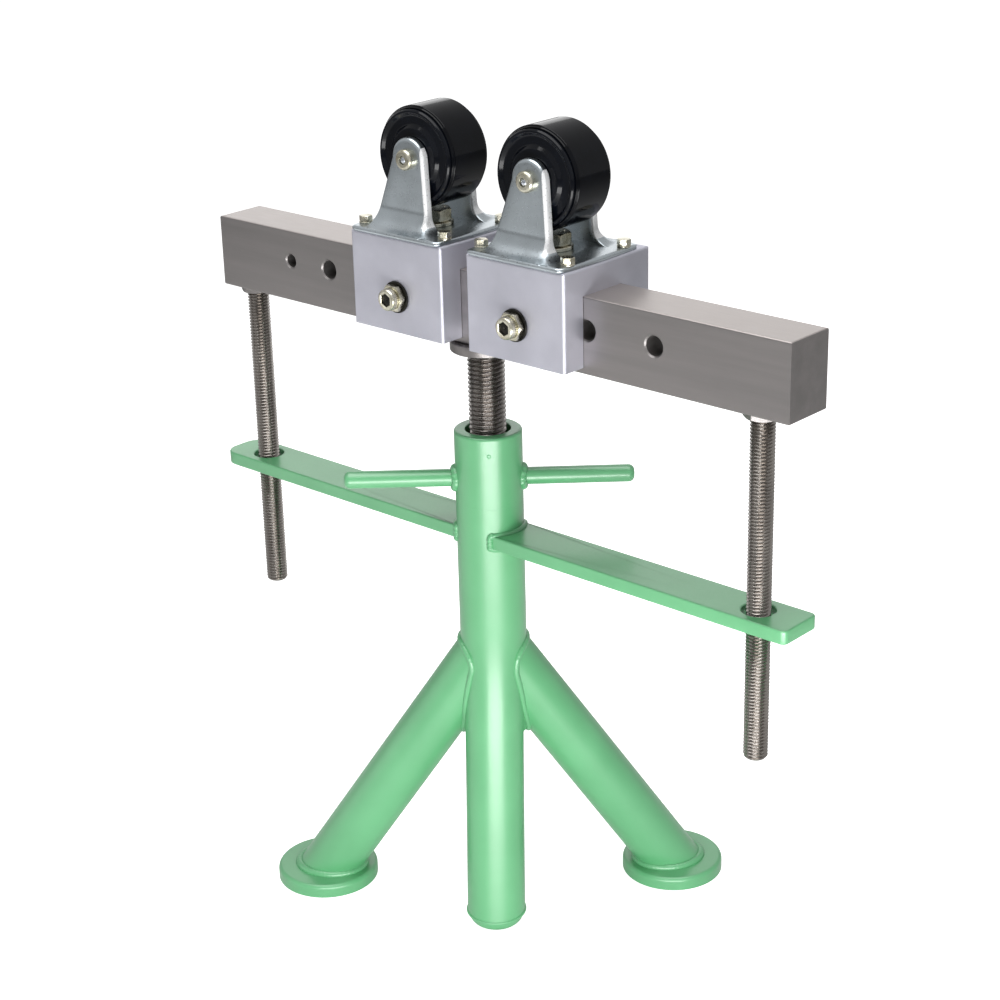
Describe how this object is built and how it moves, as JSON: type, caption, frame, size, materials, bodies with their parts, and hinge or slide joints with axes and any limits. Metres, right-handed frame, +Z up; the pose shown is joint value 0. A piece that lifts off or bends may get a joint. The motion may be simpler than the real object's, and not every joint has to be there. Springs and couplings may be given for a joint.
{
  "type": "roller stand",
  "caption": "Tripod stand whose screw-lifted beam carries clamped saddle blocks with rigid wheels, to hold up and roll long or round work.",
  "frame": {"origin": "on the floor, in the middle of the footprint box; the mast stands 23.9 mm in front of it", "axes": "+Z up; +X along the beam, to the right seen from the clamp screws' side; +Y away from the clamp screws, along the wheel axles"},
  "size_m": [0.514, 0.2466, 0.579],
  "materials": {
    "green_enamel": "gloss enamel, mint green",
    "satin_aluminium": "sawn and linished bar, satin",
    "oiled_steel": "turned bar, oiled",
    "black_steel": "black oxide",
    "bronze": "machined bronze",
    "zinc_plate": "bright zinc plate, bluish",
    "yellow_zinc": "yellow zinc plate",
    "black_plastic": "moulded hard plastic, gloss",
    "black_tread": "hard polyurethane, gloss"
  },
  "bodies": {
    "base": {"mast_tube": "green_enamel", "thrust_washer": "bronze", "front_leg": "green_enamel", "left_leg": "green_enamel", "right_leg": "green_enamel", "front_foot_plug": "green_enamel", "left_foot_disc": "green_enamel", "right_foot_disc": "green_enamel", "left_guide_arm": "green_enamel", "right_guide_arm": "green_enamel"},
    "drive": {"drive_tube": "green_enamel", "drive_nut": "bronze", "nut_pin": "black_steel", "left_handle": "green_enamel", "right_handle": "green_enamel", "handle_welds": "green_enamel"},
    "head": {"beam": "satin_aluminium", "lead_screw": "oiled_steel", "screw_collar": "oiled_steel", "left_guide_rod": "oiled_steel", "right_guide_rod": "oiled_steel", "rod_lock_nuts": "oiled_steel"},
    "left_carriage": {"left_saddle_block": "satin_aluminium", "left_jam_nut": "yellow_zinc", "left_jam_washer": "yellow_zinc", "left_fork": "zinc_plate", "left_plate_bolts": "yellow_zinc", "left_plate_washers": "yellow_zinc", "left_centre_stud": "yellow_zinc", "left_centre_nut": "yellow_zinc", "left_centre_washer": "yellow_zinc", "left_axle_bolt": "yellow_zinc", "left_axle_nut": "yellow_zinc", "left_axle_bushing": "zinc_plate"},
    "left_wheel": {"left_wheel_core": "black_plastic", "left_wheel_tread": "black_tread"},
    "left_lock": {"left_clamp_screw": "yellow_zinc"},
    "right_carriage": {"right_saddle_block": "satin_aluminium", "right_jam_nut": "yellow_zinc", "right_jam_washer": "yellow_zinc", "right_fork": "zinc_plate", "right_plate_bolts": "yellow_zinc", "right_plate_washers": "yellow_zinc", "right_centre_stud": "yellow_zinc", "right_centre_nut": "yellow_zinc", "right_centre_washer": "yellow_zinc", "right_axle_bolt": "yellow_zinc", "right_axle_nut": "yellow_zinc", "right_axle_bushing": "zinc_plate"},
    "right_wheel": {"right_wheel_core": "black_plastic", "right_wheel_tread": "black_tread"},
    "right_lock": {"right_clamp_screw": "yellow_zinc"}
  },
  "joints": [
    {"name": "drive_turn", "type": "hinge", "parent": "base", "child": "drive", "pos_m": [0, -0.02391, 0.3375], "axis": [0, 0, -1], "range_deg": [-6349.5, 9637.5]},
    {"name": "head_lift", "type": "slide", "parent": "base", "child": "head", "axis": [0, 0, 1], "range_m": [-0.056, 0.085]},
    {"name": "left_saddle_slide", "type": "slide", "parent": "head", "child": "left_carriage", "axis": [1, 0, 0], "range_m": [-0.15, 0.01]},
    {"name": "right_saddle_slide", "type": "slide", "parent": "head", "child": "right_carriage", "axis": [1, 0, 0], "range_m": [-0.01, 0.15]},
    {"name": "left_wheel_spin", "type": "hinge", "parent": "left_carriage", "child": "left_wheel", "pos_m": [-0.042, -0.02391, 0.5454], "axis": [0, 1, 0], "continuous": true},
    {"name": "right_wheel_spin", "type": "hinge", "parent": "right_carriage", "child": "right_wheel", "pos_m": [0.062, -0.02391, 0.5454], "axis": [0, 1, 0], "continuous": true},
    {"name": "left_clamp", "type": "slide", "parent": "left_carriage", "child": "left_lock", "axis": [0, -1, 0], "range_m": [0, 0.008]},
    {"name": "right_clamp", "type": "slide", "parent": "right_carriage", "child": "right_lock", "axis": [0, -1, 0], "range_m": [0, 0.008]}
  ],
  "couplings": [
    {"joint": "head_lift", "follows": "drive_turn", "m_per_rad": 0.00050532}
  ]
}
